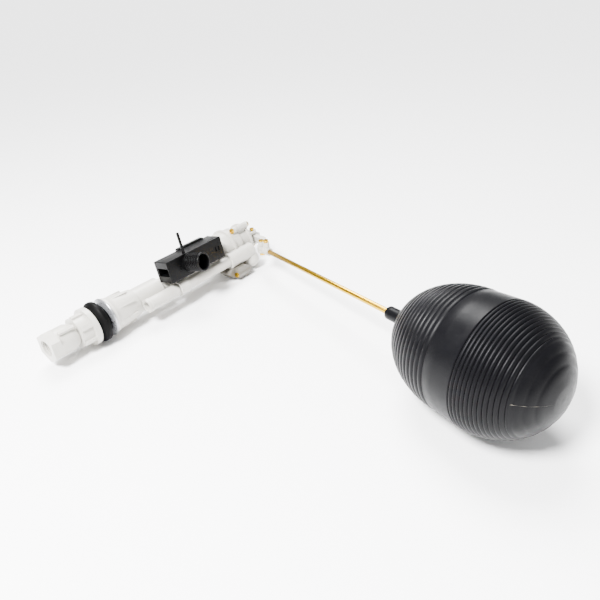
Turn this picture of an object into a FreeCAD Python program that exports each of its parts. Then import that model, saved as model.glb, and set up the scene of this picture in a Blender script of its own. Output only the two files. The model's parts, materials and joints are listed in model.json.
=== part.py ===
import FreeCAD, Part
import math
import os
import re
import Sketcher

# Float valve with a plastic riser, a discharge tube beside it, a valve head and a float on a rod.
# It lies the way it is laid on a bench: the riser runs along +X from the inlet's mouth, which is
# the origin, and the float arm reaches towards -Y.  All pieces are drawn with the arm level and
# then rolled together about the riser by roll_angle, so that the float rests on the bench too.

SIZES = {
    # inlet coupling, lock nut and washers
    "inlet_radius": 9.46,
    "inlet_depth": 15,
    "hex_corner": 18,
    "hex_length": 11,
    "coupling_radius": 15.8,
    "coupling_end": 32.5,
    "fin_length": 18,
    "fin_height": 4.2,
    "nut_start": 34,
    "nut_flange": 48,
    "nut_end": 54,
    "nut_flange_radius": 22.6,
    "cone_start": 55,
    "cone_end": 66.5,
    "cone_small": 18.6,
    "cone_large": 24.3,
    "washer_start": 70.8,
    "washer_end": 75.2,
    "washer_radius": 23.3,
    # shank and riser
    "shank_start": 20.2,
    "shank_radius": 11.1,
    "shank_bore": 7.5,
    "flange_start": 75.6,
    "flange_end": 79,
    "flange_radius": 21.6,
    "collar_end": 113.5,
    "collar_large": 20.9,
    "collar_small": 16.8,
    "sleeve_radius": 15.5,
    "sleeve_end": 151,
    "riser_radius": 11.5,
    "riser_bore": 8.5,
    "riser_start": 112.5,
    "riser_end": 262,
    # discharge tube beside the riser
    "hush_radius": 7.1,
    "hush_bore": 5.6,
    "hush_offset": 24.4,
    "hush_start": 114.5,
    "hush_end": 266,
    # refill box on the riser
    "box_start": 151.6,
    "box_length": 89.5,
    "box_front": 30.5,
    "box_depth": 25,
    "box_bottom": 12.2,
    "box_tall": 27.2,
    "box_wall": 2,
    "box_lean": 8,
    "nozzle_radius": 11.6,
    "nozzle_bore": 9.7,
    "nozzle_length": 22,
    "pin_radius": 1.9,
    # valve head
    "head_rise": 8.5,
    "drum_start": 255,
    "drum_end": 286,
    "drum_radius": 22,
    "bonnet_start": 287,
    "bonnet_end": 305,
    "bonnet_radius": 22.5,
    "bonnet_neck": 19.2,
    "screw_circle": 25.2,
    "stem_radius": 5,
    "pivot_x": 316,
    "pivot_y": 11,
    "pivot_radius": 2,
    # float arm
    "lever_thick": 12.4,
    "knuckle_x": 290,
    "knuckle_y": 52,
    "rod_radius": 3.175,
    "rod_length": 254,
    "rod_start": 9,
    "rod_engaged": 18,
    "screw_along": 13,
    "screw_boss": 12.4,
    "float_neck": 7.2,
    "float_neck_length": 25.8,
    "float_length": 164.5,
    "float_radius": 60,
    "float_wall": 2.4,
    # how it lies
    "arm_angle": 106.4,
    "roll_angle": 4.1,
}

doc = FreeCAD.newDocument("FloatValve")
sheet = doc.addObject("Spreadsheet::Sheet", "dims")
for row, (alias, value) in enumerate(SIZES.items(), start=1):
    sheet.set(f"A{row}", alias)
    sheet.set(f"B{row}", str(value))
    sheet.setAlias(f"B{row}", alias)
doc.recompute()

SUB_PARTS = []
WORDS = re.compile(r"[a-z][a-z_]+")


def bound(text):
    """Turn 'cone_end + 2' into an expression on the sheet's cells."""
    return WORDS.sub(lambda word: "dims." + word.group() if word.group() in SIZES else word.group(),
                     str(text))


def size(text):
    """The value, in mm, of an expression on the sheet's cells."""
    return float(sheet.evalExpression(bound(text)))


def bind(thing, prop, text):
    thing.setExpression(prop, bound(text))


# ---------------------------------------------------------------- placements

ALONG_X = FreeCAD.Rotation(FreeCAD.Vector(0, 1, 0), 90)
UPRIGHT = FreeCAD.Rotation()
ROLL = FreeCAD.Placement(FreeCAD.Vector(), FreeCAD.Rotation(FreeCAD.Vector(1, 0, 0), -size("roll_angle")))


def at(x, y=0, z=0, turn=UPRIGHT):
    return FreeCAD.Placement(FreeCAD.Vector(size(x), size(y), size(z)), turn)


def toward(direction):
    """Rotation that points a primitive's own +Z along a direction."""
    return FreeCAD.Rotation(FreeCAD.Vector(0, 0, 1), FreeCAD.Vector(*direction))


ARM = FreeCAD.Placement(
    FreeCAD.Vector(size("knuckle_x"), -size("knuckle_y"), size("head_rise")),
    FreeCAD.Rotation(FreeCAD.Vector(0, 0, 1), -size("arm_angle")))


def keep(thing, label, place=FreeCAD.Placement()):
    """Name a finished sub-part and lay it down with the rest."""
    thing.Label = label
    thing.Placement = ROLL.multiply(place)
    SUB_PARTS.append(thing)
    return thing


# ---------------------------------------------------------------- primitives and booleans

def cylinder(radius, height, place):
    thing = doc.addObject("Part::Cylinder", "cylinder")
    bind(thing, "Radius", radius)
    bind(thing, "Height", height)
    thing.Placement = place
    return thing


def cone(radius_low, radius_high, height, place):
    thing = doc.addObject("Part::Cone", "cone")
    bind(thing, "Radius1", radius_low)
    bind(thing, "Radius2", radius_high)
    bind(thing, "Height", height)
    thing.Placement = place
    return thing


def block(length, width, height, place):
    thing = doc.addObject("Part::Box", "block")
    bind(thing, "Length", length)
    bind(thing, "Width", width)
    bind(thing, "Height", height)
    thing.Placement = place
    return thing


def prism(sides, corner_radius, height, place):
    thing = doc.addObject("Part::Prism", "prism")
    thing.Polygon = sides
    bind(thing, "Circumradius", corner_radius)
    bind(thing, "Height", height)
    thing.Placement = place
    return thing


def ball(radius, place):
    thing = doc.addObject("Part::Sphere", "ball")
    bind(thing, "Radius", radius)
    thing.Placement = place
    return thing


def ring(big_radius, small_radius, place):
    thing = doc.addObject("Part::Torus", "ring")
    bind(thing, "Radius1", big_radius)
    bind(thing, "Radius2", small_radius)
    thing.Placement = place
    return thing


def fuse(*things):
    joined = doc.addObject("Part::MultiFuse", "fuse")
    joined.Shapes = list(things)
    joined.Refine = True
    return joined


def cut(base, *tools):
    result = doc.addObject("Part::Cut", "cut")
    result.Base = base
    result.Tool = tools[0] if len(tools) == 1 else fuse(*tools)
    result.Refine = True
    return result


def rounded(base, radius, wanted):
    """Fillet the edges of base that the test `wanted` picks."""
    doc.recompute()
    result = doc.addObject("Part::Fillet", "rounded")
    result.Base = base
    result.Edges = [(number, size(radius), size(radius))
                    for number, edge in enumerate(base.Shape.Edges, start=1) if wanted(edge)]
    return result


# ---------------------------------------------------------------- turned pieces

def turned(label, outline, place=FreeCAD.Placement()):
    """A body turned about its own X axis from an outline of (along, radius) expressions."""
    body = doc.addObject("PartDesign::Body", label)
    plane = next(item for item in body.Origin.OriginFeatures if item.Role == "XY_Plane")
    sketch = body.newObject("Sketcher::SketchObject", label + "_outline")
    sketch.AttachmentSupport = [(plane, "")]
    sketch.MapMode = "FlatFace"
    corners = [FreeCAD.Vector(size(along), size(radius), 0) for along, radius in outline]
    count = len(corners)
    for number in range(count):
        sketch.addGeometry(Part.LineSegment(corners[number], corners[(number + 1) % count]), False)
    for number in range(count):
        sketch.addConstraint(Sketcher.Constraint("Coincident", number, 2, (number + 1) % count, 1))
    for number, (along, radius) in enumerate(outline):
        for axis, text, value, line in (("DistanceX", along, corners[number].x, -2),
                                        ("DistanceY", radius, corners[number].y, -1)):
            if abs(value) < 1e-9:
                sketch.addConstraint(Sketcher.Constraint("PointOnObject", number, 1, line))
                continue
            index = sketch.addConstraint(Sketcher.Constraint(axis, -1, 1, number, 1, value))
            bind(sketch, f"Constraints[{index}]", text)
    spin = body.newObject("PartDesign::Revolution", label + "_turned")
    spin.Profile = sketch
    spin.ReferenceAxis = (sketch, ["H_Axis"])
    spin.Angle = 360
    body.Tip = spin
    return keep(body, label, place)


# ---------------------------------------------------------------- inlet, nut and washers

def make_inlet_fitting():
    hexagon = prism(6, "hex_corner", "hex_length", at(0, turn=ALONG_X))
    barrel = cylinder("coupling_radius", "coupling_end - hex_length - 7", at("hex_length", turn=ALONG_X))
    shoulder = cone("coupling_radius", "coupling_radius - 3", 7, at("coupling_end - 7", turn=ALONG_X))
    fins = []
    for side in range(2):
        lean = FreeCAD.Placement(FreeCAD.Vector(), FreeCAD.Rotation(FreeCAD.Vector(1, 0, 0), 36 + 180 * side))
        seat = FreeCAD.Placement(FreeCAD.Vector(size("hex_length + 1.5"), -1.75, 0), UPRIGHT)
        fins.append(block("fin_length", 3.5, "coupling_radius + fin_height", lean.multiply(seat)))
    inlet = cylinder("inlet_radius", "inlet_depth", at(0, turn=ALONG_X))
    waterway = cylinder("shank_bore", 20, at(0, turn=ALONG_X))
    socket = cylinder("shank_radius + 0.2", 30, at("inlet_depth + 3", turn=ALONG_X))
    keep(cut(fuse(hexagon, barrel, shoulder, *fins), inlet, waterway, socket), "inlet_fitting")


def make_lock_nut():
    core = cylinder(17.4, "nut_flange - nut_start + 1", at("nut_start", turn=ALONG_X))
    grips = []
    for sixth in range(6):
        lean = FreeCAD.Placement(FreeCAD.Vector(), FreeCAD.Rotation(FreeCAD.Vector(1, 0, 0), 60 * sixth))
        seat = FreeCAD.Placement(FreeCAD.Vector(size("nut_start + 1"), -3, 0), UPRIGHT)
        grips.append(block("nut_flange - nut_start", 6, 19.4, lean.multiply(seat)))
    flange = cylinder("nut_flange_radius", "nut_end - nut_flange", at("nut_flange", turn=ALONG_X))
    thread = cylinder("shank_radius + 0.15", 40, at("nut_start - 5", turn=ALONG_X))
    keep(cut(fuse(core, flange, *grips), thread), "lock_nut")


def make_washers():
    turned("inlet_gasket", [
        ("inlet_depth + 3.1", "shank_bore"), ("shank_start - 0.1", "shank_bore"),
        ("shank_start - 0.1", "shank_radius"), ("inlet_depth + 3.1", "shank_radius")])
    turned("cone_washer", [
        ("cone_start", "shank_radius + 0.1"), ("cone_start", "cone_small - 0.8"),
        ("cone_start + 0.8", "cone_small"), ("cone_start + 5", "cone_large - 0.9"),
        ("cone_start + 6.4", "cone_large"), ("cone_end - 2.4", "cone_large"),
        ("cone_end - 0.8", "cone_large - 0.5"), ("cone_end", "cone_large - 1.6"),
        ("cone_end + 0.6", "cone_small - 0.6"), ("washer_start - 0.2", "cone_small - 1.4"),
        ("washer_start - 0.2", "shank_radius + 0.1")])
    turned("metal_washer", [
        ("washer_start", "shank_radius + 0.3"), ("washer_start", "washer_radius - 3.4"),
        ("washer_start + 1.2", "washer_radius - 0.8"), ("washer_start + 2.2", "washer_radius"),
        ("washer_end - 0.6", "washer_radius"),
        ("washer_end", "shank_radius + 0.3")])


# ---------------------------------------------------------------- shank, riser and discharge tube

def make_shank():
    turned("shank_profile", [
        ("shank_start", "shank_bore"), ("shank_start", "shank_radius - 0.8"),
        ("shank_start + 0.8", "shank_radius"), ("flange_start", "shank_radius"),
        ("flange_start", "flange_radius"), ("flange_end", "flange_radius"),
        ("flange_end + 1", "collar_large"), ("collar_end - 0.6", "collar_small"),
        ("collar_end", "sleeve_radius"), ("sleeve_end - 0.8", "sleeve_radius"),
        ("sleeve_end", "sleeve_radius - 0.8"), ("sleeve_end", "riser_radius + 0.1"),
        ("sleeve_end - 5", "riser_radius + 0.1"), ("sleeve_end - 5", "riser_radius + 2.4"),
        ("sleeve_end - 8.4", "riser_radius + 2.4"), ("sleeve_end - 8.4", "riser_radius + 0.1"),
        ("riser_start - 0.3", "riser_radius + 0.1"), ("riser_start - 0.3", "shank_bore")])
    profile = SUB_PARTS.pop()
    profile.Placement = FreeCAD.Placement()
    ribs = []
    for eighth in range(8):
        lean = FreeCAD.Placement(FreeCAD.Vector(), FreeCAD.Rotation(FreeCAD.Vector(1, 0, 0), 12 + 45 * eighth))
        seat = FreeCAD.Placement(FreeCAD.Vector(size("flange_end - 1"), -1, size("riser_radius + 2")), UPRIGHT)
        ribs.append(block(27, 2, "collar_large - riser_radius - 2.6", lean.multiply(seat)))
    keep(fuse(profile, *ribs), "shank_and_sleeve")


def make_riser():
    turned("riser_tube", [
        ("riser_start", "riser_bore"), ("riser_start", "riser_radius"),
        ("riser_end", "riser_radius"), ("riser_end", "riser_bore")])
    keep(ring("riser_radius + 1.2", 1.15, at(0)), "riser_seal", at("sleeve_end - 6.7", turn=ALONG_X))


def make_hush_tube():
    beside = at(0, "-hush_offset")
    turned("hush_tube", [
        ("hush_start", "hush_bore"), ("hush_start", "hush_radius"),
        ("hush_end", "hush_radius"), ("hush_end", "hush_bore")], beside)
    turned("hush_sleeve", [
        ("hush_start", "hush_radius + 0.1"), ("hush_start", "hush_radius + 1.2"),
        ("hush_start + 2.2", "hush_radius + 1.2"), ("hush_start + 2.8", "hush_radius + 0.8"),
        ("hush_start + 3.6", "hush_radius + 1.2"), ("hush_start + 5.4", "hush_radius + 1.2"),
        ("hush_start + 6", "hush_radius + 0.7"), ("hush_start + 42", "hush_radius + 0.7"),
        ("hush_start + 47", "hush_radius + 0.1")], beside)


BOX_LEAN = FreeCAD.Placement(FreeCAD.Vector(), FreeCAD.Rotation(FreeCAD.Vector(1, 0, 0), -size("box_lean")),
                             FreeCAD.Vector(0, size("box_depth / 2 - box_front"), size("box_bottom + box_tall / 2")))


def on_box(x, y, z, turn=UPRIGHT):
    """Place on the refill box, which leans out over the discharge tube."""
    return BOX_LEAN.multiply(at(x, y, z, turn))


def make_riser_clip():
    """Strap that holds the discharge tube and the refill box to the riser."""
    length = 14
    start = "box_start + 11"
    around_riser = cylinder("riser_radius + 2", length, at(start, turn=ALONG_X))
    around_hush = cylinder("hush_radius + 1.8", length, at(start, "-hush_offset", turn=ALONG_X))
    bridge = block(length, "hush_offset - 8", 7, at(start, "-hush_offset + 4", -3.5))
    seat = block(length, 13, "box_bottom - 2.6", at(start, "-hush_offset + 2", 0))
    riser_hole = cylinder("riser_radius + 0.05", length + 2, at("box_start + 10", turn=ALONG_X))
    hush_hole = cylinder("hush_radius + 0.05", length + 2, at("box_start + 10", "-hush_offset", turn=ALONG_X))
    box_room = block("box_length", "box_depth + 0.4", "box_tall",
                     on_box("box_start", "-box_front - 0.2", "box_bottom - 0.1"))
    keep(cut(fuse(around_riser, around_hush, bridge, seat), riser_hole, hush_hole, box_room), "riser_clip")


# ---------------------------------------------------------------- refill box

NOZZLE_BASE = ("box_start + 33", "-box_front", "box_bottom + 14.6")
NOZZLE_WAY = toward((0.198, -0.98, 0.012))
PIN_SEAT = ("box_start + 31", "-box_front + 4.1")


def make_refill_box():
    shell = block("box_length", "box_depth - 2.4", "box_tall", on_box("box_start", "-box_front", "box_bottom"))
    shell = rounded(shell, 0.8, lambda edge: True)
    inside = block("box_length - 2 * box_wall - 12", "box_depth", "box_tall - 2 * box_wall",
                   on_box("box_start + box_wall + 12", "-box_front + box_wall", "box_bottom + box_wall"))
    end_socket = block(11, "box_depth - 5", 10.2, on_box("box_start - 1", "-box_front + 1.2", "box_bottom + 8.6"))
    slots = [block(2.2, 1.4, 6, on_box(f"box_start + {along}", "-box_front - 0.1", "box_bottom + 10.5"))
             for along in (16.5, 21.5, 76, 81)]
    pin_hole = cylinder("pin_radius + 0.06", 12, on_box(*PIN_SEAT, "box_bottom + box_tall - 10"))
    nozzle_hole = cylinder("nozzle_radius - 3", 6, on_box("box_start + 34", "-box_front - 1", "box_bottom + 14.6",
                                                         toward((0, 1, 0))))
    keep(cut(shell, inside, end_socket, pin_hole, nozzle_hole, *slots), "refill_box")


def make_box_cover():
    plate = block("box_length", 2.2, "box_tall",
                  on_box("box_start", "-box_front + box_depth - 2.2", "box_bottom"))
    lip = block("box_length - 2 * box_wall - 13", 1.6, "box_tall - 2 * box_wall - 1",
                on_box("box_start + box_wall + 12.5", "-box_front + box_depth - 3.8",
                       "box_bottom + box_wall + 0.5"))
    hump = block(42, 7, 4, on_box("box_start + 38", "-box_front + box_depth - 2.2",
                                  "box_bottom + box_tall - 2"))
    hump = rounded(hump, 1.6, lambda edge: edge.BoundBox.ZMin > size("box_bottom + box_tall - 1.4"))
    keep(fuse(plate, lip, hump), "box_cover")


def make_nozzle():
    place = on_box(*NOZZLE_BASE, NOZZLE_WAY)
    outline = [("0", "nozzle_radius - 3.2"), ("0", "nozzle_radius + 0.3"), ("2", "nozzle_radius + 0.3"),
               ("2", "nozzle_radius - 0.8")]
    for turn in range(6):
        start = 2.8 + 2.8 * turn
        outline += [(str(start), "nozzle_radius - 0.8"), (str(start + 0.6), "nozzle_radius - 0.2"),
                    (str(start + 1.5), "nozzle_radius - 0.2"), (str(start + 2.1), "nozzle_radius - 0.8")]
    outline += [("nozzle_length - 1.8", "nozzle_radius - 0.8"), ("nozzle_length - 1.5", "nozzle_radius"),
                ("nozzle_length - 0.4", "nozzle_radius"), ("nozzle_length", "nozzle_radius - 0.5"),
                ("nozzle_length", "nozzle_bore"), ("7", "nozzle_bore"), ("6", "nozzle_radius - 3.2")]
    out_of_face = place.multiply(FreeCAD.Placement(FreeCAD.Vector(), FreeCAD.Rotation(FreeCAD.Vector(0, 1, 0), -90)))
    turned("nozzle_profile", outline)
    profile = SUB_PARTS.pop()
    profile.Placement = out_of_face
    behind_face = block(60, 20, 60, on_box("box_start + 5", "-box_front + 0.02", "box_bottom - 15"))
    keep(cut(profile, behind_face), "refill_nozzle")


def make_metering_pin():
    turned("metering_pin", [
        ("0", "0"), ("0", "pin_radius"), ("35.4", "pin_radius"), ("36", "pin_radius - 0.6"), ("36", "0")],
        on_box(*PIN_SEAT, "box_bottom + box_tall - 9.5", toward((0, 0, 1)).multiply(
            FreeCAD.Rotation(FreeCAD.Vector(0, 1, 0), -90))))


# ---------------------------------------------------------------- valve head

def head_point(angle, radius):
    """Y and Z of a point on the head's axis circle, the angle counted from +Y towards +Z."""
    return (size(radius) * math.cos(math.radians(angle)),
            size("head_rise") + size(radius) * math.sin(math.radians(angle)))


SCREW_ANGLES = (116, 246, 361)


def screw_bosses(start, length, radius):
    bosses = []
    for angle in SCREW_ANGLES:
        y, z = head_point(angle, "screw_circle")
        bosses.append(cylinder(radius, length, at(start, y, z, ALONG_X)))
        bosses.append(block(length, 1.7 * radius, 7, web_place(start, angle, 0.85 * radius)))
    return bosses


def web_place(start, angle, half_width):
    """Place a web that ties a screw boss to the drum."""
    spin = FreeCAD.Placement(FreeCAD.Vector(0, 0, size("head_rise")),
                             FreeCAD.Rotation(FreeCAD.Vector(1, 0, 0), angle - 90))
    return spin.multiply(FreeCAD.Placement(
        FreeCAD.Vector(size(start), -half_width, size("screw_circle") - 7), UPRIGHT))


def make_valve_body():
    drum = cylinder("drum_radius", "drum_end - drum_start", at("drum_start", 0, "head_rise", ALONG_X))
    drum = rounded(drum, 2.5, lambda edge: abs(edge.BoundBox.XMax - size("drum_start")) < 0.01)
    riser_boss = cylinder("riser_radius + 3", 14, at("drum_start - 9", turn=ALONG_X))
    outlet_boss = cylinder("hush_radius + 3.4", 32, at("drum_start - 5", "-hush_offset", turn=ALONG_X))
    rim = cylinder("drum_radius + 2.8", 3, at("drum_start + 13.5", 0, "head_rise", ALONG_X))
    outlet_web = block(26, 20, 14, at("drum_start + 1", "-hush_offset", -7))
    bosses = screw_bosses("drum_end - 6.5", 6.5, 4.2)
    riser_socket = cylinder("riser_radius + 0.1", 20, at("riser_end - 19.9", turn=ALONG_X))
    inner_way = cylinder("riser_bore - 1", 8, at("riser_end - 1", turn=ALONG_X))
    seat_hole = cylinder(5.6, 12, at("drum_end - 20.5", 0, "head_rise", ALONG_X))
    chamber = cylinder("drum_radius - 5", 15, at("drum_end - 12", 0, "head_rise", ALONG_X))
    hush_socket = cylinder("hush_radius + 0.1", 20, at("hush_end - 19.9", "-hush_offset", turn=ALONG_X))
    outlet_way = cylinder("hush_bore - 0.6", 40, at("hush_end - 1", "-hush_offset", turn=ALONG_X))
    side_way = cylinder(4.3, 17, at("drum_end - 6.8", "-hush_offset + 1.5", 0.3, toward((0, 1, 0))))
    screw_holes = [cylinder(2, 20, at("drum_end - 15", *head_point(angle, "screw_circle"), ALONG_X))
                   for angle in SCREW_ANGLES]
    nut_seats = [cylinder(4.1, 3.2, at("drum_end - 9.7", *head_point(angle, "screw_circle"), ALONG_X))
                 for angle in SCREW_ANGLES]
    keep(cut(fuse(drum, rim, riser_boss, outlet_boss, outlet_web, *bosses), riser_socket, inner_way, seat_hole,
             chamber, hush_socket, outlet_way, side_way, *screw_holes, *nut_seats), "valve_body")


def make_bonnet():
    waist = cylinder("bonnet_neck", "bonnet_end - bonnet_start - 1", at("bonnet_start", 0, "head_rise", ALONG_X))
    disc = cylinder("bonnet_radius", 3.2, at("bonnet_end - 3.2", 0, "head_rise", ALONG_X))
    disc = rounded(disc, 1.2, lambda edge: abs(edge.BoundBox.XMin - size("bonnet_end")) < 0.01)
    neck = cylinder(9, 4, at("bonnet_end - 0.5", 0, "head_rise", ALONG_X))
    bosses = screw_bosses("bonnet_start", 19, 4.2)
    ears = []
    for side in (-1, 1):
        base = f"head_rise + {side} * (lever_thick / 2 + 1.8) - 1.4"
        ears.append(block("pivot_x - bonnet_end + 1", 12, 2.8, at("bonnet_end - 1", "-pivot_y - 6", base)))
        ears.append(cylinder(6, 2.8, at("pivot_x", "-pivot_y", base)))
    guide = cylinder("stem_radius + 0.05", 30, at("bonnet_start - 5", 0, "head_rise", ALONG_X))
    relief = cylinder(9, 4, at("bonnet_start - 1", 0, "head_rise", ALONG_X))
    seal_groove = cylinder("stem_radius + 1.9", 2.6, at("bonnet_end - 5", 0, "head_rise", ALONG_X))
    pivot_hole = cylinder("pivot_radius + 0.02", 40, at("pivot_x", "-pivot_y", "head_rise - 20"))
    screw_holes = [cylinder(2, 30, at("bonnet_start - 5", *head_point(angle, "screw_circle"), ALONG_X))
                   for angle in SCREW_ANGLES]
    keep(cut(fuse(waist, disc, neck, *bosses, *ears), guide, relief, seal_groove, pivot_hole, *screw_holes), "bonnet")


def make_head_trim():
    turned("bonnet_gasket", [
        ("drum_end + 0.1", "drum_radius - 5"), ("drum_end + 0.1", "drum_radius - 3.4"),
        ("bonnet_start - 0.1", "drum_radius - 3.4"), ("bonnet_start - 0.1", "drum_radius - 5")],
        at(0, 0, "head_rise"))
    turned("seat_nozzle", [
        ("drum_end - 20.3", "2.6"), ("drum_end - 20.3", "5.5"), ("drum_end - 14", "5.5"),
        ("drum_end - 12.6", "3.6"), ("drum_end - 12.6", "2.6")], at(0, 0, "head_rise"))
    shafts = [cylinder(1.9, 30, at("drum_end - 8.8", *head_point(angle, "screw_circle"), ALONG_X))
              for angle in SCREW_ANGLES]
    heads = [cylinder(3.4, 2.6, at("bonnet_start + 19.1", *head_point(angle, "screw_circle"), ALONG_X))
             for angle in SCREW_ANGLES]
    nuts = [prism(6, 3.9, 2.8, at("drum_end - 9.4", *head_point(angle, "screw_circle"), ALONG_X))
            for angle in SCREW_ANGLES]
    keep(fuse(*shafts, *heads), "bonnet_screws")
    bores = [cylinder(1.95, 8, at("drum_end - 12", *head_point(angle, "screw_circle"), ALONG_X))
             for angle in SCREW_ANGLES]
    keep(cut(fuse(*nuts), *bores), "bonnet_nuts")


def make_discharge():
    """Rounded outlet elbow at the head's end of the discharge tube, and the hood below it."""
    outer = ball(11.9, at("drum_end + 5", "-hush_offset - 1", -12))
    neck = cylinder("hush_radius + 3.4", 12, at("drum_end - 3.8", "-hush_offset", turn=ALONG_X))
    inner = ball(9.6, at("drum_end + 5", "-hush_offset - 1", -12))
    way = cylinder("hush_bore", 14, at("drum_end - 4.8", "-hush_offset", turn=ALONG_X))
    head_room = cylinder("bonnet_radius + 0.2", 60, at("drum_start", 0, "head_rise", ALONG_X))
    boss_room = cylinder("hush_radius + 3.5", 24.1, at("drum_end - 28", "-hush_offset", turn=ALONG_X))
    screw_room = cylinder(4.5, 60, at("drum_end - 20", *head_point(SCREW_ANGLES[1], "screw_circle"), ALONG_X))
    keep(cut(fuse(outer, neck), inner, way, head_room, boss_room, screw_room), "outlet_elbow")


# ---------------------------------------------------------------- plunger and lever

def make_plunger():
    """Drawn with the valve open: the seat washer stands 5.3 mm off the seat nozzle."""
    turned("plunger", [
        ("drum_end - 4.9", "0"), ("drum_end - 4.9", "4.7"), ("drum_end - 6.4", "4.7"),
        ("drum_end - 6.4", "6.4"), ("drum_end - 1", "6.4"), ("drum_end - 1", "stem_radius"),
        ("pivot_x - 3.4", "stem_radius"), ("pivot_x - 1", "stem_radius - 2.2"), ("pivot_x - 1", "0")],
        at(0, 0, "head_rise"))
    turned("seat_washer", [
        ("drum_end - 7.2", "0"), ("drum_end - 7.2", "4.6"), ("drum_end - 5", "4.6"),
        ("drum_end - 5", "0")], at(0, 0, "head_rise"))
    keep(ring("stem_radius + 0.98", 0.85, at(0)), "stem_seal",
         at("bonnet_end - 3.7", 0, "head_rise", ALONG_X))


def make_lever():
    level = "head_rise - lever_thick / 2"
    hub = cylinder(5.4, "lever_thick", at("pivot_x", "-pivot_y", level))
    nose = cylinder(5, 8, at("pivot_x + 4.6", 0, "head_rise - 4"))
    top_bar = block(9, "pivot_y + 5", 8, at("pivot_x + 0.6", "-pivot_y - 5", "head_rise - 4"))
    limb = limb_between((0, 0), (-4, -24), 7.6)
    shin = limb_between((-4, -24), (size("knuckle_x - pivot_x"), size("pivot_y - knuckle_y")), 7.6)
    knee = cylinder(3.8, 8, at("pivot_x - 4", "-pivot_y - 24", "head_rise - 4"))
    eye = cylinder(6.4, 4.2, at("knuckle_x", "-knuckle_y", "head_rise + 0.15"))
    tower = cylinder(4.4, 6, at("knuckle_x", "-knuckle_y", "head_rise + 4.2"))
    knuckle_room = cylinder(6.9, 6, at("knuckle_x", "-knuckle_y", "head_rise - 5.9"))
    pivot_hole = cylinder("pivot_radius + 0.05", 30, at("pivot_x", "-pivot_y", "head_rise - 15"))
    clamp_hole = cylinder(2.05, 30, at("knuckle_x", "-knuckle_y", "head_rise - 15"))
    solid = cut(fuse(hub, nose, top_bar, limb, shin, knee, eye, tower), knuckle_room, pivot_hole, clamp_hole)
    keep(solid, "float_lever")


def limb_between(start, end, width):
    """A straight stretch of the lever, 8 mm thick, between two points counted from the pivot."""
    length = math.dist(start, end)
    heading = math.degrees(math.atan2(end[1] - start[1], end[0] - start[0]))
    turn = FreeCAD.Rotation(FreeCAD.Vector(0, 0, 1), heading)
    base = FreeCAD.Vector(size("pivot_x") + start[0], -size("pivot_y") + start[1], size("head_rise - 4"))
    offset = turn.multVec(FreeCAD.Vector(0, -width / 2, 0))
    return block(length, width, 8, FreeCAD.Placement(base + offset, turn))


def make_pivot_pin():
    shaft = cylinder("pivot_radius", 26, at("pivot_x", "-pivot_y", "head_rise - 13"))
    head = cylinder("pivot_radius + 1.3", 1.6, at("pivot_x", "-pivot_y", "head_rise + 11.4"))
    keep(fuse(shaft, head), "pivot_pin")


# ---------------------------------------------------------------- rod holder, rod and float

def make_rod_holder():
    """Drawn along the arm's own X axis, with the clamp's axis at its origin."""
    eye = cylinder(6.4, 4.6, at(0, 0, -4.75))
    barrel = cylinder(5.2, 12.6, at(-3, 0, -0.9, ALONG_X))
    barrel_room = block(20, 14, 12, at(-10, -7, -0.15))
    socket = cylinder("rod_radius + 0.05", 30, at(-4, turn=ALONG_X))
    clamp_hole = cylinder(1.95, 20, at(0, 0, -10))
    tail = cylinder(5.2, "screw_along - 1", at(7.4, 0, 0, ALONG_X))
    boss = cylinder(4.2, "screw_boss", at("screw_along", 0, 0))
    screw_hole = cylinder(1.95, 20, at("screw_along", 0, 0))
    body = cut(fuse(cut(fuse(eye, barrel), barrel_room), tail, boss), socket, clamp_hole, screw_hole)
    keep(body, "rod_holder", ARM)


def make_thumb_screw():
    """Knurled screw that grips the rod, and the bolt and nut the rod holder is set on."""
    shaft = cylinder(1.9, "screw_boss - 2", at("screw_along", 0, "rod_radius + 0.1"))
    collar = cylinder(3.4, 3.4, at("screw_along", 0, "screw_boss + 0.1"))
    flutes = [cylinder(0.5, 6, at("screw_along", 0, "screw_boss - 1").multiply(FreeCAD.Placement(
        FreeCAD.Vector(3.5 * math.cos(math.radians(30 * turn)), 3.5 * math.sin(math.radians(30 * turn)), 0),
        UPRIGHT))) for turn in range(12)]
    slot = block(8, 0.9, 2, at("screw_along - 4", -0.45, "screw_boss + 2.3"))
    keep(cut(fuse(shaft, collar), *flutes, slot), "thumb_screw", ARM)
    bolt = cylinder(1.9, 20.2, at(0, 0, -9.6))
    bolt_head = cylinder(3.4, 1.8, at(0, 0, 10.3))
    keep(fuse(bolt, bolt_head), "knuckle_bolt", ARM)
    nut = cut(prism(4, 4.6, 2.6, at(0, 0, -8.9)), cylinder(1.95, 10, at(0, 0, -12)))
    keep(nut, "clamp_nut", ARM)


def make_rod():
    turned("float_rod", [
        ("0", "0"), ("0", "rod_radius - 0.5"), ("0.8", "rod_radius"),
        ("rod_length - 0.8", "rod_radius"), ("rod_length", "rod_radius - 0.5"), ("rod_length", "0")],
        ARM.multiply(at("rod_start")))


FLOAT_FRONT_RIBS = 9
FLOAT_BACK_RIBS = 14
RIB_HEIGHT = 1.5


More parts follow.
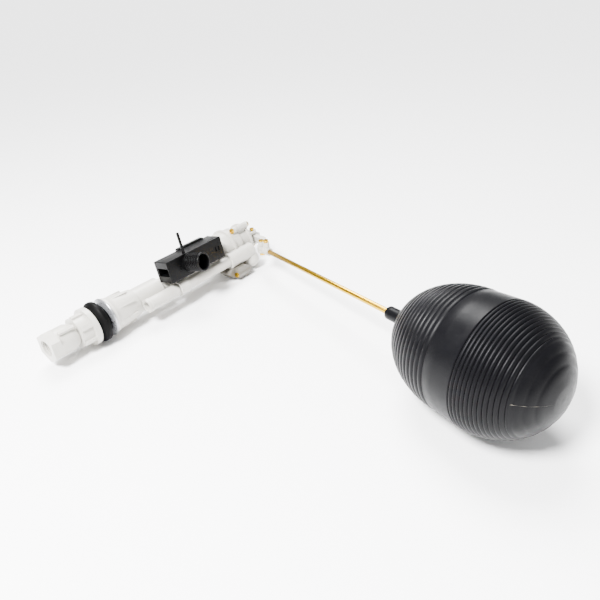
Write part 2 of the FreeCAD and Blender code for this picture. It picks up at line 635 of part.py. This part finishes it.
def float_outline():
    """Outer outline of the float, counted from the neck's end, as (along, radius) numbers."""
    neck = size("float_neck_length")
    front = 74
    band_end = 103
    length = size("float_length")
    big = size("float_radius")
    points = [(0, size("float_neck") - 1.6), (1.6, size("float_neck")), (neck, size("float_neck"))]

    def front_radius(along):
        rise = math.acos(1 - along / front)
        return (big - 1) * math.sin(rise)

    def back_radius(along):
        fall = math.asin((along - band_end) / (length - band_end))
        return big * math.cos(fall)

    for along in (1.6, 3.2):
        points.append((neck + along, front_radius(along)))
    for rib in range(FLOAT_FRONT_RIBS):
        low = 6 + (front - 6) * rib / FLOAT_FRONT_RIBS
        high = 6 + (front - 6) * (rib + 0.5) / FLOAT_FRONT_RIBS
        points += [(neck + low, front_radius(low) - RIB_HEIGHT), (neck + high, front_radius(high))]
    points += [(neck + front, big - 1.6 - RIB_HEIGHT), (neck + front + 1, big - 1.6)]
    points += [(neck + band_end - 1, big - 0.2)]
    for rib in range(FLOAT_BACK_RIBS):
        low = band_end + 48 * rib / FLOAT_BACK_RIBS
        high = band_end + 48 * (rib + 0.5) / FLOAT_BACK_RIBS
        points += [(neck + low, back_radius(low) - RIB_HEIGHT), (neck + high, back_radius(high))]
    for along in (152.5, 156.5, 160, 162.8):
        points.append((neck + along, back_radius(along)))
    points.append((neck + length, 0))
    return points


def make_float():
    """Blow-moulded shell with a wall of even thickness, open only where the threaded insert sits."""
    outer = float_outline()
    neck = size("float_neck_length")
    wall = size("float_wall")
    length = size("float_length")
    inner = [(neck + length - wall, 0)]
    for step in range(1, 12):
        share = step / 12
        fall = math.radians(90 * (1 - share))
        inner.append((neck + 103 + (length - wall - 103) * math.sin(fall),
                      (size("float_radius") - wall - RIB_HEIGHT) * math.cos(fall)))
    for step in range(0, 12):
        rise = math.radians(90 * (1 - step / 12))
        inner.append((neck + wall + (76 - wall) * (1 - math.cos(rise)),
                      max(5.2, (size("float_radius") - 6.5) * math.sin(rise) ** 1.1)))
    inner += [(neck + wall, 4.3), (0, 4.3)]
    outline = [FreeCAD.Vector(along, radius, 0) for along, radius in outer + inner]
    wire = Part.makePolygon(outline + outline[:1])
    shell = Part.Face(wire).revolve(FreeCAD.Vector(), FreeCAD.Vector(1, 0, 0), 360)
    body = doc.addObject("Part::Feature", "float_shell")
    body.Shape = shell
    keep(body, "float_shell", ARM.multiply(at("rod_start + rod_length - rod_engaged")))
    turned("float_insert", [
        ("0.6", "rod_radius + 0.05"), ("0.6", "4.2"), ("22", "4.2"), ("22", "rod_radius + 0.05")],
        ARM.multiply(at("rod_start + rod_length - rod_engaged")))


# ---------------------------------------------------------------- hood below the head

def make_hood():
    """Grey hood that shields the air gap under the head, open below, with its fixing screw."""
    side = [(0, 10), (10, 0), (36.5, 0), (36.5, 10.5), (27, 15), (9, 15)]
    wire = Part.makePolygon([FreeCAD.Vector(along, 0, up) for along, up in side + side[:1]])
    outer = doc.addObject("Part::Feature", "hood_side")
    outer.Shape = Part.Face(wire).extrude(FreeCAD.Vector(0, 26, 0))
    outer.Placement = at("drum_start - 15", "-hush_offset - 14", -23.5)
    inside = block(21.3, 21.6, 12.5, at("drum_start - 1.8", "-hush_offset - 11.8", -25.5))
    corner = block(20, 8, 20, at("drum_start - 22.4", "-hush_offset - 16", -26))
    rib = block(2, 22, 10, at("drum_start + 8", "-hush_offset - 12", -23))
    boss = cylinder(3.9, 22, at("drum_start - 2.4", "-hush_offset - 11.6", -18.2, ALONG_X))
    tube_room = cylinder("hush_radius + 3.6", 60, at("drum_start - 20", "-hush_offset", turn=ALONG_X))
    drum_room = cylinder("drum_radius + 3", 60, at("drum_start - 20", 0, "head_rise", ALONG_X))
    elbow_room = ball(12.1, at("drum_end + 5", "-hush_offset - 1", -12))
    screw_hole = cylinder(1.65, 14, at("drum_start - 3.4", "-hush_offset - 11.6", -18.2, ALONG_X))
    keep(cut(fuse(cut(outer, inside, corner), rib, boss), tube_room, drum_room, elbow_room, screw_hole),
         "splash_hood")
    shaft = cylinder(1.6, 12, at("drum_start - 3.4", "-hush_offset - 11.6", -18.2, ALONG_X))
    head = cylinder(3.3, 2.2, at("drum_start - 4.7", "-hush_offset - 11.6", -18.2, ALONG_X))
    keep(fuse(shaft, head), "hood_screw")


# ---------------------------------------------------------------- build, test and write

make_inlet_fitting()
make_lock_nut()
make_washers()
make_shank()
make_riser()
make_hush_tube()
make_riser_clip()
make_refill_box()
make_box_cover()
make_nozzle()
make_metering_pin()
make_valve_body()
make_bonnet()
make_head_trim()
make_discharge()
make_plunger()
make_lever()
make_pivot_pin()
make_rod_holder()
make_thumb_screw()
make_rod()
make_float()
make_hood()
doc.recompute()

for thing in doc.Objects:
    if "Invalid" in thing.State or "Error" in thing.State:
        raise RuntimeError(f"{thing.Label} did not build: {thing.State}")

os.makedirs("parts", exist_ok=True)
for part in SUB_PARTS:
    if part.Shape.isNull() or not part.Shape.isValid():
        raise RuntimeError(f"{part.Label} has no valid shape")
    part.Shape.exportStep(f"parts/{part.Label}.step")
    box = part.Shape.BoundBox
    print(f"{part.Label:18s} solids {len(part.Shape.Solids)} volume {part.Shape.Volume:9.0f} "
          f"x {box.XMin:6.1f} {box.XMax:6.1f} y {box.YMin:6.1f} {box.YMax:6.1f} z {box.ZMin:6.1f} {box.ZMax:6.1f}")
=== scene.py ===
import json
import math

import bmesh
import bpy
from bpy.props import FloatProperty, FloatVectorProperty, IntProperty, PointerProperty
from mathutils import Matrix, Vector


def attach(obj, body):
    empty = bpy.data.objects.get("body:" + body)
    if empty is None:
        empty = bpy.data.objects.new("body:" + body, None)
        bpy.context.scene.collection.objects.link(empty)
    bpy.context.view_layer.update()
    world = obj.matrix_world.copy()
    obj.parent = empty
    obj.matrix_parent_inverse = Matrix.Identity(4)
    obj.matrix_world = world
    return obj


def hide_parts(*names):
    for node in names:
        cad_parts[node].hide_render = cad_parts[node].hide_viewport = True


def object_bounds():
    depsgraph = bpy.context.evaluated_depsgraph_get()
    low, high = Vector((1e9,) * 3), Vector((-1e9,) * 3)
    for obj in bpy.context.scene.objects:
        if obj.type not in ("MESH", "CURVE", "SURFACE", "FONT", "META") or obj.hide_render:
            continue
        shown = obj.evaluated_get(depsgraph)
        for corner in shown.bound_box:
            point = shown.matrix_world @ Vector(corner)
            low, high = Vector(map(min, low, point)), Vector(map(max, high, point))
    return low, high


bl_info = {
    "name": "Float Valve",
    "version": (1, 0, 0),
    "blender": (4, 5, 0),
    "location": "View3D > Sidebar > Float Valve",
    "description": "Finish the mouldings, seals, brass work and float of a float valve",
    "category": "Object",
}

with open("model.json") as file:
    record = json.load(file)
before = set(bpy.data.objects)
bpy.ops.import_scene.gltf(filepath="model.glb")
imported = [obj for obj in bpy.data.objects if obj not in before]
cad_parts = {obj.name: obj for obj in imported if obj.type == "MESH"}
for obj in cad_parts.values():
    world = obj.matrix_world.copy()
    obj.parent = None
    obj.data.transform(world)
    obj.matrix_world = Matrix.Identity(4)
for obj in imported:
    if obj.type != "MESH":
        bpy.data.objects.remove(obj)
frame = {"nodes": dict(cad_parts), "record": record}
CAD_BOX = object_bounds()
BODY_OF = {node: body for body, nodes in frame["record"]["behaviour"]["bodies"].items() for node in nodes}

# Lengths are in millimetres and angles in degrees, until MM brings them to metres.
MM = 0.001
ROLL = Matrix.Rotation(math.radians(-4.1), 4, "X")
SHARP_ANGLE = 32
WELD_METRES = 2e-7
WELD_OUTLINE = 1e-4

# the knuckle, and the float's neck on the rod's axis beyond it
HEAD_RISE = 8.5
KNUCKLE = (290, -52, HEAD_RISE)
ARM_ANGLE = -106.4
NECK_START = 245
NECK_LENGTH = 25.8

# the float: a rounded front, a smooth band and a rounded back, measured from the neck's end
FRONT_RADIUS = 59
FRONT_LENGTH = 74
FIRST_RIB = 6
BACK_RADIUS = 59.97
BACK_START = 103
BACK_LENGTH = 61.5
BACK_RIDGES_LENGTH = 44
RIDGE_STEPS = 8
DOME_STEPS = ((147, 152.6), (152.6, 157.6), (157.6, 161.4))
SEAM_TURN = 168
SEAM_START = 146
SEAM_HALF_WIDTH = 0.4
SEAM_ROOT = 1.2

# the refill box leans about BOX_PIVOT, and its spout leaves the front face at SPOUT_BASE
BOX_LEAN = -8
BOX_PIVOT = (0, -18, 25.8)
SPOUT_BASE = (184.6, -30.5, 26.8)
SPOUT_WAY = (0.198, -0.98, 0.012)


# ---------------------------------------------------------------- places and meshes

def place(x, y, z, turn=Matrix.Identity(4)):
    """Place given in millimetres beside the riser's axis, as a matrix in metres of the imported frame."""
    return Matrix.Scale(MM, 4) @ ROLL @ Matrix.Translation((x, y, z)) @ turn


def arm_place(along):
    """Place on the float rod's axis, that far from the knuckle."""
    return place(*KNUCKLE, Matrix.Rotation(math.radians(ARM_ANGLE), 4, "Z")
                 @ Matrix.Translation((along, 0, 0)))


def piece(name, form, material, node, extra=False):
    """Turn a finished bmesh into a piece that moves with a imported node's body, and stands for it."""
    mesh = bpy.data.meshes.new(name)
    form.to_mesh(mesh)
    form.free()
    if "custom_normal" in mesh.attributes:
        mesh.attributes.remove(mesh.attributes["custom_normal"])
    for face in mesh.polygons:
        face.use_smooth = True
    mesh.set_sharp_from_angle(angle=math.radians(SHARP_ANGLE))
    mesh.materials.append(material)
    thing = bpy.data.objects.new(name, mesh)
    bpy.context.scene.collection.objects.link(thing)
    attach(thing, BODY_OF[node])
    if not extra:
        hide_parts(node)
    return thing


def welded_copy(node, material):
    """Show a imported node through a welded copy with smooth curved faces."""
    form = bmesh.new()
    form.from_mesh(frame["nodes"][node].data)
    bmesh.ops.remove_doubles(form, verts=form.verts, dist=WELD_METRES)
    bmesh.ops.recalc_face_normals(form, faces=form.faces)
    return piece(node + "_skin", form, material, node)


def lathe(outline, where, steps):
    """Spin a closed outline of (along, radius) about the x axis and put it in its place."""
    form = bmesh.new()
    corners = [form.verts.new((along, radius, 0)) for along, radius in outline]
    lines = [form.edges.new(pair) for pair in zip(corners, corners[1:])]
    lines.append(form.edges.new((corners[-1], corners[0])))
    bmesh.ops.spin(form, geom=corners + lines, cent=(0, 0, 0), axis=(1, 0, 0), angle=math.tau,
                   steps=steps, use_merge=True, use_duplicate=False)
    bmesh.ops.remove_doubles(form, verts=form.verts, dist=WELD_OUTLINE)
    bmesh.ops.recalc_face_normals(form, faces=form.faces)
    bmesh.ops.transform(form, matrix=where, verts=form.verts)
    return form


def helix(radius, depth, pitch, turns, where, steps=48):
    """A thread's ridge: a three-cornered section wound round the x axis, closed at both ends."""
    form = bmesh.new()
    half = 0.42 * pitch
    corners = ((-half, radius, 0), (half, radius, 0), (0, radius + depth, 0))
    section = form.faces.new([form.verts.new(corner) for corner in corners])
    bmesh.ops.spin(form, geom=[section], cent=(0, 0, 0), axis=(1, 0, 0), angle=math.tau * turns,
                   dvec=(pitch / steps, 0, 0), steps=int(steps * turns), use_merge=False,
                   use_duplicate=False)
    bmesh.ops.recalc_face_normals(form, faces=form.faces)
    bmesh.ops.transform(form, matrix=where, verts=form.verts)
    return form


# ---------------------------------------------------------------- materials

class Finish:
    """A Principled material with its object coordinates ready to use."""

    def __init__(self, name, metallic=0.0):
        self.material = bpy.data.materials.new(name)
        self.material.use_nodes = True
        self.tree = self.material.node_tree
        self.shader = self.tree.nodes["Principled BSDF"]
        self.shader.inputs["Metallic"].default_value = metallic
        self.spot = self.add("ShaderNodeTexCoord").outputs["Object"]

    def add(self, kind, **values):
        made = self.tree.nodes.new(kind)
        for key, value in values.items():
            setattr(made, key, value)
        return made

    def link(self, out, socket):
        self.tree.links.new(out, socket)

    def noise(self, scale, detail=4.0, stretch=(1, 1, 1), distortion=0.0):
        """Noise on the object's own coordinates, per metre."""
        lay = self.add("ShaderNodeMapping")
        lay.inputs["Scale"].default_value = stretch
        self.link(self.spot, lay.inputs["Vector"])
        made = self.add("ShaderNodeTexNoise")
        made.inputs["Scale"].default_value = scale
        made.inputs["Detail"].default_value = detail
        made.inputs["Distortion"].default_value = distortion
        self.link(lay.outputs["Vector"], made.inputs["Vector"])
        return made.outputs["Fac"]

    def ramp(self, factor, stops):
        """Colour ramp with (position, colour) stops."""
        made = self.add("ShaderNodeValToRGB")
        band = made.color_ramp
        for index, (position, colour) in enumerate(stops):
            stop = band.elements[index] if index < 2 else band.elements.new(position)
            stop.position = position
            stop.color = (*colour, 1)
        self.link(factor, made.inputs["Fac"])
        return made.outputs["Color"]

    def spread(self, factor, low, high):
        """Map a 0 to 1 pattern on to a range of values."""
        made = self.add("ShaderNodeMapRange")
        made.inputs["From Min"].default_value = 0.3
        made.inputs["From Max"].default_value = 0.7
        made.inputs["To Min"].default_value = low
        made.inputs["To Max"].default_value = high
        self.link(factor, made.inputs["Value"])
        return made.outputs["Result"]

    def relief(self, height, distance, strength, edge=0.0):
        """Bump over a rounded edge."""
        bump = self.add("ShaderNodeBump")
        bump.inputs["Distance"].default_value = distance
        bump.inputs["Strength"].default_value = strength
        self.link(height, bump.inputs["Height"])
        if edge:
            soft = self.add("ShaderNodeBevel", samples=4)
            soft.inputs["Radius"].default_value = edge
            self.link(soft.outputs["Normal"], bump.inputs["Normal"])
        self.link(bump.outputs["Normal"], self.shader.inputs["Normal"])


def shade(colour, factor):
    return tuple(min(1.0, channel * factor) for channel in colour)


def moulding(name, colour, rough_low, rough_high, grain, edge):
    """Injection-moulded plastic: faint flow marks, fine satin grain and soft edges."""
    finish = Finish(name)
    flow = finish.noise(45, 5, (1, 2.2, 1), 0.4)
    finish.link(finish.ramp(flow, [(0.3, shade(colour, 0.93)), (0.7, shade(colour, 1.05))]),
                finish.shader.inputs["Base Color"])
    finish.link(finish.spread(finish.noise(120, 6), rough_low, rough_high),
                finish.shader.inputs["Roughness"])
    finish.relief(finish.noise(2600, 3), 0.00006, grain, edge)
    return finish


def white_moulding(colours):
    finish = moulding("WhiteMoulding", colours.white, 0.30, 0.44, 0.25, 0.0006)
    finish.shader.inputs["Subsurface Weight"].default_value = 0.12
    finish.shader.inputs["Subsurface Radius"].default_value = (0.0016, 0.0015, 0.0014)
    finish.shader.inputs["IOR"].default_value = 1.48
    return finish.material


def black_moulding(colours):
    finish = moulding("BlackMoulding", colours.black, 0.26, 0.36, 0.1, 0.0003)
    finish.shader.inputs["Specular IOR Level"].default_value = 0.08
    return finish.material


def float_moulding(colours):
    """Blow-moulded float plastic: satin charcoal with light dust and rub marks."""
    finish = Finish("FloatMoulding")
    cloud = finish.noise(38, 7, (1, 1, 1), 0.6)
    finish.link(finish.ramp(cloud, [(0.28, shade(colours.float_body, 0.88)), (0.55, colours.float_body),
                                    (0.78, shade(colours.float_body, 1.2))]),
                finish.shader.inputs["Base Color"])
    finish.link(finish.spread(finish.noise(110, 8, (1, 1, 1), 0.8), 0.33, 0.43),
                finish.shader.inputs["Roughness"])
    finish.relief(finish.noise(1500, 5), 0.00012, 0.35)
    finish.shader.inputs["Specular IOR Level"].default_value = 0.07
    return finish.material


def shade_and_highlight_grey_moulding(colours):
    """Dark grey plastic as painted shade on the hood, a white moulding lying in the shade below the valve
    body; slightly see-through at thin edges. On the float's seam the same grey is a painted highlight.
    """
    finish = moulding("PaintedShadeHighlightGrey", colours.grey, 0.28, 0.42, 0.25, 0.0005)
    finish.shader.inputs["Subsurface Weight"].default_value = 0.08
    finish.shader.inputs["Subsurface Radius"].default_value = (0.001, 0.001, 0.0009)
    return finish.material


def black_rubber(colours):
    finish = moulding("BlackRubber", colours.rubber, 0.5, 0.65, 0.3, 0.0004)
    finish.shader.inputs["Specular IOR Level"].default_value = 0.05
    return finish.material


def zinc_plate(colours):
    """Zinc-plated steel: soft spangle and small dull spots."""
    finish = Finish("ZincPlate", 0.8)
    spangle = finish.noise(240, 6, (1, 1, 1), 0.5)
    finish.link(finish.ramp(spangle, [(0.3, shade(colours.zinc, 0.78)), (0.7, shade(colours.zinc, 1.12))]),
                finish.shader.inputs["Base Color"])
    finish.link(finish.spread(finish.noise(420, 4), 0.24, 0.40), finish.shader.inputs["Roughness"])
    finish.relief(finish.noise(1800, 4), 0.00005, 0.3, 0.0003)
    return finish.material


def brass(colours):
    """Drawn brass: faint lines, slight tarnish and brighter rubbed patches."""
    finish = Finish("Brass", 1.0)
    tarnish = finish.noise(34, 4, (1, 1, 1), 0.5)
    finish.link(finish.ramp(tarnish, [(0.25, shade(colours.brass, 0.86)), (0.52, colours.brass),
                                      (0.78, shade(colours.brass, 1.08))]),
                finish.shader.inputs["Base Color"])
    finish.link(finish.spread(finish.noise(120, 4), 0.20, 0.28), finish.shader.inputs["Roughness"])
    finish.relief(finish.noise(700, 3, (1, 0.1, 1)), 0.00001, 0.2, 0.0002)
    return finish.material


MAKERS = {
    "white_plastic": white_moulding,
    "black_plastic": black_moulding,
    # grey_plastic slot: painted shade on the hood, painted highlight on the float's seam
    "grey_plastic": shade_and_highlight_grey_moulding,
    "float_plastic": float_moulding,
    "black_rubber": black_rubber,
    "zinc": zinc_plate,
    "brass": brass,
}
made_finishes = {}


def finish_for(slot):
    """The material for a slot, made once."""
    if slot not in made_finishes:
        made_finishes[slot] = MAKERS[slot](bpy.context.scene.float_valve_colours)
    return made_finishes[slot]


def slot_of(node):
    return frame["nodes"][node].data.materials[0].name.split(".")[0]


# ---------------------------------------------------------------- properties

def colour_choice(name, description, default):
    return FloatVectorProperty(name=name, description=description, subtype="COLOR", default=default,
                               min=0, max=1)


class FloatValveColours(bpy.types.PropertyGroup):
    """Colours of the moulded and metal pieces, set to suit the bright stage below."""

    white: colour_choice("White moulding", "Colour of the white mouldings", (0.44, 0.425, 0.385))
    black: colour_choice("Black moulding", "Colour of the small black mouldings", (0.0012, 0.0012, 0.0013))
    float_body: colour_choice("Float", "Colour of the blow-moulded float", (0.0016, 0.0016, 0.0021))
    # the hood's grey is painted shade: the hood is white moulding, darkened for the shade it lies in below
    # the valve body; on the float's seam the same grey is a painted highlight
    grey: colour_choice("Hood", "Colour of the shade_darkened grey hood", (0.10, 0.092, 0.075))
    rubber: colour_choice("Rubber", "Colour of the rubber seals", (0.001, 0.001, 0.001))
    zinc: colour_choice("Zinc plate", "Colour of the plated steel", (0.34, 0.345, 0.36))
    brass: colour_choice("Brass", "Colour of the brass pieces", (0.50, 0.30, 0.010))


class FloatValveSizes(bpy.types.PropertyGroup):
    """Sizes of the visible detail."""

    front_ribs: IntProperty(name="Front ribs", description="Fine ribs between the neck and the band",
                            default=13, min=1, max=20)
    back_ribs: IntProperty(name="Back ribs", description="Rounded ridges behind the band",
                           default=13, min=1, max=24)
    rib_depth: FloatProperty(name="Rib depth", description="Depth of the valleys between the float's ridges",
                             default=0.0013, min=0.0002, max=0.003, unit="LENGTH")
    thread_depth: FloatProperty(name="Thread depth", description="Depth of the outlet's thread",
                                default=0.0009, min=0.0002, max=0.002, unit="LENGTH")


# ---------------------------------------------------------------- operators

class FLOATVALVE_OT_mouldings(bpy.types.Operator):
    """Finish the injection-moulded body pieces: white, black, and the hood in grey, whose darkness is
    painted shade
    """

    bl_idname = "floatvalve.mouldings"
    bl_label = "Body mouldings"

    def execute(self, context):
        for node in frame["nodes"]:
            slot = slot_of(node)
            if slot in ("white_plastic", "black_plastic", "grey_plastic") and node != "refill_nozzle":
                welded_copy(node, finish_for(slot))
        return {"FINISHED"}


class FLOATVALVE_OT_spout(bpy.types.Operator):
    """Model the refill box's threaded spout and the thread inside the inlet"""

    bl_idname = "floatvalve.spout"
    bl_label = "Spout and inlet thread"

    def execute(self, context):
        depth = context.scene.float_valve_sizes.thread_depth / MM
        root = [(-3.4, 8.4), (-3.4, 11.6), (-0.6, 11.85), (1.6, 11.85), (2.0, 11.5), (2.1, 10.8)]
        lip = [(19.9, 10.8), (20.1, 11.2), (20.5, 11.55), (21.5, 11.55), (21.9, 11.3), (22, 10.9)]
        bore = [(22, 10.1), (21.7, 9.75), (7, 9.7), (6, 8.4)]
        way = spout_place()
        form = lathe(root + lip + bore, way, 96)
        piece("refill_nozzle_skin", form, finish_for("black_plastic"), "refill_nozzle")
        ridge_form = helix(10.75, depth, 2.6, 6, way @ Matrix.Translation((3.4, 0, 0)))
        piece("refill_nozzle_thread", ridge_form, finish_for("black_plastic"),
              "refill_nozzle", extra=True)
        inside = helix(9.5, -0.75, 1.81, 7, place(1.6, 0, 0))
        piece("inlet_thread", inside, finish_for("white_plastic"),
              "inlet_fitting", extra=True)
        return {"FINISHED"}


def spout_place():
    """Place of the spout: its x axis runs out of the box's front face."""
    lean = Matrix.Rotation(math.radians(BOX_LEAN), 4, "X")
    centre = Matrix.Translation(BOX_PIVOT)
    way = Vector(SPOUT_WAY).to_track_quat("X", "Z").to_matrix().to_4x4()
    base = Matrix.Translation(SPOUT_BASE)
    return Matrix.Scale(MM, 4) @ ROLL @ centre @ lean @ centre.inverted() @ base @ way


class FLOATVALVE_OT_seals(bpy.types.Operator):
    """Finish the rubber washers and seals"""

    bl_idname = "floatvalve.seals"
    bl_label = "Rubber seals"

    def execute(self, context):
        for node in frame["nodes"]:
            if slot_of(node) == "black_rubber":
                welded_copy(node, finish_for("black_rubber"))
        return {"FINISHED"}


class FLOATVALVE_OT_metal(bpy.types.Operator):
    """Finish the brass and zinc-plated pieces"""

    bl_idname = "floatvalve.metal"
    bl_label = "Metal pieces"

    def execute(self, context):
        for node in frame["nodes"]:
            if slot_of(node) == "brass":
                welded_copy(node, finish_for("brass"))
        front = [(70.8, 11.5), (70.8, 17.6), (71.0, 18.3), (71.6, 19.4), (73.0, 21.9), (73.5, 22.6)]
        rim = [(74.1, 23.05), (74.6, 23.2), (75.0, 23.05), (75.2, 22.6), (75.2, 11.5)]
        form = lathe(front + rim, place(0, 0, 0), 128)
        piece("metal_washer_skin", form, finish_for("zinc"), "metal_washer")
        return {"FINISHED"}


def float_front(along):
    """Radius of the float's front, that far beyond the neck."""
    return FRONT_RADIUS * math.sin(math.acos(1 - along / FRONT_LENGTH))


def float_back(along):
    """Radius of the float's back, that far beyond the neck."""
    return BACK_RADIUS * math.sqrt(max(0.0, 1 - ((along - BACK_START) / BACK_LENGTH) ** 2))


def ridge(share, depth):
    """Height of a rounded ridge with a narrow valley at each end, given the share of its width."""
    return -depth * (1 - math.sin(math.pi * share) ** 0.75)


def ridges(radius_at, start, pitch, count, depth):
    """Outline points of a row of like ridges on the float's front or back."""
    points = []
    for number in range(count):
        for step in range(RIDGE_STEPS):
            along = start + (number + step / RIDGE_STEPS) * pitch
            points.append((NECK_LENGTH + along, radius_at(along) + ridge(step / RIDGE_STEPS, depth)))
    return points


def float_profile(sizes):
    """Float outline from the neck's end, with rounded ridges and a smooth band."""
    neck = NECK_LENGTH
    depth = sizes.rib_depth / MM
    outline = [(0, 4.4), (0, 5.6), (0.5, 6.5), (1.6, 7.15), (6, 7.2), (neck - 1.2, 7.2), (neck - 0.2, 7.9)]
    outline += [(neck + along, float_front(along)) for along in (1.2, 2.2, 3.4, 4.8)]
    outline += ridges(float_front, FIRST_RIB, (FRONT_LENGTH - FIRST_RIB) / sizes.front_ribs,
                      sizes.front_ribs, 0.7 * depth)
    outline += [(neck + 74, 58.1), (neck + 74.6, 58.5), (neck + 84, 58.95), (neck + 94, 59.4),
                (neck + 102, 59.8)]
    outline += ridges(float_back, BACK_START, BACK_RIDGES_LENGTH / sizes.back_ribs, sizes.back_ribs, depth)
    for start, end in DOME_STEPS:
        outline += ridges(float_back, start, end - start, 1, 0.55 * depth)
    outline += [(neck + along, float_back(along) - 0.6) for along in (161.6, 162.3, 162.9, 163.3)]
    outline += [(neck + 163.5, 5), (neck + 163.7, 2.5), (neck + 163.8, 0)]
    return outline


class FLOATVALVE_OT_float(bpy.types.Operator):
    """Model the blow-moulded float with its ridges, band, neck and moulding line"""

    bl_idname = "floatvalve.float_shell"
    bl_label = "Float"

    def execute(self, context):
        outer = float_profile(context.scene.float_valve_sizes)
        inner = [(185, 0), (183, 12), (178, 28), (165, 43), (145, 53), (125, 56.5), (100, 55), (75, 48),
                 (50, 34), (36, 18), (30, 5.2), (28, 4.4)]
        form = lathe(outer + inner, arm_place(NECK_START), 160)
        piece("float_shell_skin", form, finish_for("float_plastic"), "float_shell")
        self.seam()
        return {"FINISHED"}

    def seam(self):
        """Thin raised line where the two halves of the mould met, along both sides and over the end."""
        line = [(NECK_LENGTH + along, float_back(along) + 0.1) for along in range(SEAM_START, 162)]
        line += [(NECK_LENGTH + along, float_back(along) - 0.45) for along in (161.8, 162.5, 163.1)]
        line += [(NECK_LENGTH + 163.7, 0)]
        line += [(along, -radius) for along, radius in reversed(line[:-1])]
        form = bmesh.new()
        before = None
        section = ((-SEAM_HALF_WIDTH, SEAM_ROOT), (0, 0), (SEAM_HALF_WIDTH, SEAM_ROOT))
        for along, radius in line:
            back = 1 if abs(radius) < 40 else 0.5
            level = [form.verts.new((along - drop * back,
                                     radius - math.copysign(drop * 0.6, radius or 1), wide))
                     for wide, drop in section]
            if before:
                for side in range(3):
                    after = (side + 1) % 3
                    form.faces.new((before[side], before[after], level[after], level[side]))
            else:
                form.faces.new(level)
            before = level
        form.faces.new(reversed(before))
        bmesh.ops.recalc_face_normals(form, faces=form.faces)
        turn = Matrix.Rotation(math.radians(SEAM_TURN), 4, "X")
        bmesh.ops.transform(form, matrix=arm_place(NECK_START) @ turn, verts=form.verts)
        # the seam takes the lighter grey finish as a painted highlight: a line lighter than the black float
        # along the ridge
        piece("float_seam", form, finish_for("grey_plastic"), "float_shell", extra=True)


class FLOATVALVE_OT_stage(bpy.types.Operator):
    """Set the floor, the soft lights and the camera"""

    bl_idname = "floatvalve.stage"
    bl_label = "Stage"

    def execute(self, context):
        low = CAD_BOX[0][2]
        floor_form = bmesh.new()
        bmesh.ops.create_grid(floor_form, x_segments=1, y_segments=1, size=60)
        bmesh.ops.translate(floor_form, verts=floor_form.verts, vec=(0.2, -0.2, low - 0.0004))
        mesh = bpy.data.meshes.new("Floor")
        floor_form.to_mesh(mesh)
        floor_form.free()
        finish = Finish("PaleFloor")
        finish.shader.inputs["Base Color"].default_value = (0.93, 0.93, 0.935, 1)
        finish.shader.inputs["Roughness"].default_value = 0.9
        mesh.materials.append(finish.material)
        floor = bpy.data.objects.new("Floor", mesh)
        context.scene.collection.objects.link(floor)

        world = bpy.data.worlds.new("SoftSky")
        world.use_nodes = True
        sky = world.node_tree.nodes["Background"]
        sky.inputs["Color"].default_value = (1, 1, 1, 1)
        sky.inputs["Strength"].default_value = 0.8
        context.scene.world = world

        self.sun(context, "KeyLight", (0.5, 0.6, 1.2), 32, 11)
        self.lamp(context, "GlossLight", (-0.55, -0.15, 1.05), (0.2, -0.3, 0), 0.4, 110)
        self.lamp(context, "FillLight", (-0.2, -1.3, 0.5), (0.1, -0.2, 0), 0.6, 2)
        self.camera(context)
        return {"FINISHED"}

    def lamp(self, context, name, spot, aim, width, power):
        data = bpy.data.lights.new(name, "AREA")
        data.shape = "DISK"
        data.size = width
        data.energy = power
        way = (Vector(aim) - Vector(spot)).to_track_quat("-Z", "Y")
        self.hang(context, name, data, spot, way)

    def sun(self, context, name, toward, spread, strength):
        """Even light from a far, wide source that lies that way."""
        data = bpy.data.lights.new(name, "SUN")
        data.angle = math.radians(spread)
        data.energy = strength
        self.hang(context, name, data, (0, 0, 0), Vector(toward).to_track_quat("Z", "Y"))

    def hang(self, context, name, data, spot, way):
        light = bpy.data.objects.new(name, data)
        light.location = spot
        light.rotation_euler = way.to_euler()
        context.scene.collection.objects.link(light)

    def camera(self, context):
        data = bpy.data.cameras.new("Camera")
        data.lens = 32.376
        data.sensor_width = 36
        data.clip_start = 0.01
        right, up, back = (0.6149, -0.7870, -0.0512), (0.4345, 0.2839, 0.8548), (-0.6581, -0.5479, 0.5165)
        turn = Matrix((right, up, back)).transposed().to_quaternion().to_matrix().to_4x4()
        eye = bpy.data.objects.new("Camera", data)
        eye.matrix_world = Matrix.Translation((-0.1891, -0.5113, 0.3266)) @ turn
        context.scene.collection.objects.link(eye)
        context.scene.camera = eye


class FLOATVALVE_PT_panel(bpy.types.Panel):
    """Sidebar panel with the pieces and their settings"""

    bl_label = "Float Valve"
    bl_idname = "FLOATVALVE_PT_panel"
    bl_space_type = "VIEW_3D"
    bl_region_type = "UI"
    bl_category = "Float Valve"

    def draw(self, context):
        column = self.layout.column()
        for group in (context.scene.float_valve_colours, context.scene.float_valve_sizes):
            for name in group.__annotations__:
                column.prop(group, name)
        for operator in OPERATORS:
            column.operator(operator.bl_idname)


OPERATORS = (FLOATVALVE_OT_mouldings, FLOATVALVE_OT_spout, FLOATVALVE_OT_seals,
             FLOATVALVE_OT_metal, FLOATVALVE_OT_float, FLOATVALVE_OT_stage)
GROUPS = (FloatValveColours, FloatValveSizes)


def register():
    for group in GROUPS + OPERATORS + (FLOATVALVE_PT_panel,):
        bpy.utils.register_class(group)
    bpy.types.Scene.float_valve_colours = PointerProperty(type=FloatValveColours)
    bpy.types.Scene.float_valve_sizes = PointerProperty(type=FloatValveSizes)


def unregister():
    del bpy.types.Scene.float_valve_colours
    del bpy.types.Scene.float_valve_sizes
    for group in reversed(GROUPS + OPERATORS + (FLOATVALVE_PT_panel,)):
        bpy.utils.unregister_class(group)


def main():
    register()
    bpy.ops.floatvalve.mouldings()
    bpy.ops.floatvalve.spout()
    bpy.ops.floatvalve.seals()
    bpy.ops.floatvalve.metal()
    bpy.ops.floatvalve.float_shell()
    bpy.ops.floatvalve.stage()


if __name__ == "__main__":
    main()
